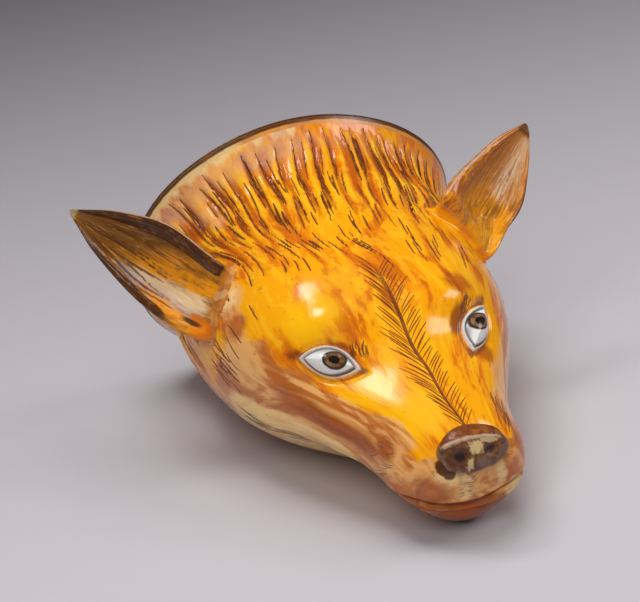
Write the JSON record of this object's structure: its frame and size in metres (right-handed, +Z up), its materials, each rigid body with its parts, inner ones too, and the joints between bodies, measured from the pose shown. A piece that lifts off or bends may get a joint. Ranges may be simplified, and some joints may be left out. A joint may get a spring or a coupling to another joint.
{
  "type": "stirrup cup",
  "caption": "Glazed earthenware drinking cup in the form of a fox's head, with an open mouth at the neck, pointed ears, white eyes and a dark nose; lies on its jaw or stands on its mouth.",
  "frame": {"origin": "on the surface that the cup lies on, under the middle of its outside", "axes": "+Y from the nose to the mouth, +X to the fox's left, +Z up when the cup lies on its jaw"},
  "size_m": [0.115, 0.1272, 0.07],
  "materials": {
    "fur_glaze": "glossy lead glaze over mottled ochre, orange and brown",
    "ear_glaze": "glossy lead glaze, amber inside, brown along the edges",
    "lip_glaze": "glossy lead glaze with a brown painted edge",
    "inside_glaze": "glossy cream glaze",
    "eye_glaze": "glossy white glaze with a painted brown iris",
    "nose_glaze": "glossy dark brown glaze, worn on the middle"
  },
  "bodies": {
    "root": {"left_half_shell": "fur_glaze", "right_half_shell": "fur_glaze", "lip_coil": "lip_glaze", "seam_roll": "inside_glaze", "left_ear": "ear_glaze", "right_ear": "ear_glaze", "left_ear_lute": "ear_glaze", "right_ear_lute": "ear_glaze", "left_eye": "eye_glaze", "right_eye": "eye_glaze", "nose_pad": "nose_glaze"}
  },
  "joints": []
}
